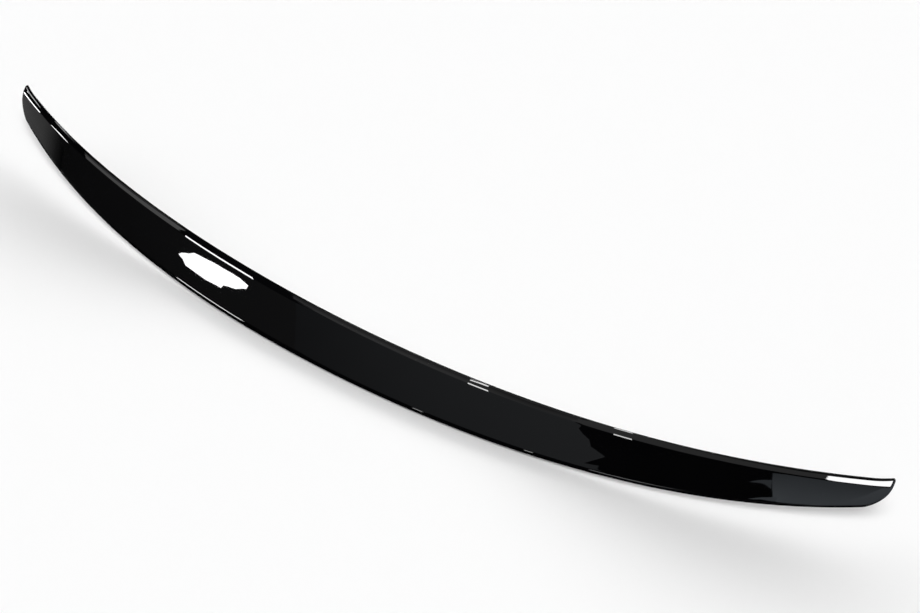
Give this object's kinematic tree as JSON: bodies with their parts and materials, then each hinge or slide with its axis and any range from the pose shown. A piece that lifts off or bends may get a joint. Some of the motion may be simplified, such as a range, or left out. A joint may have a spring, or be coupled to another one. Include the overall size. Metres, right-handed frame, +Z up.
{
  "type": "car rear lip spoiler",
  "caption": "Bowed, twisting gloss-black blade with a broad rear face, a crease and a narrow front band, tapering to swept tips. Bonds along a car's boot lid.",
  "frame": {"origin": "on the surface the blade lies on, under the centre of its bounding box", "axes": "+X across the car from tip to tip, +Y towards the front of the car on the concave side, +Z up from the surface it lies on"},
  "size_m": [1.148, 0.164, 0.0512],
  "materials": {
    "gloss_black_abs": "high-gloss piano black"
  },
  "bodies": {
    "root": {"spoiler_blade": "gloss_black_abs"}
  },
  "joints": []
}
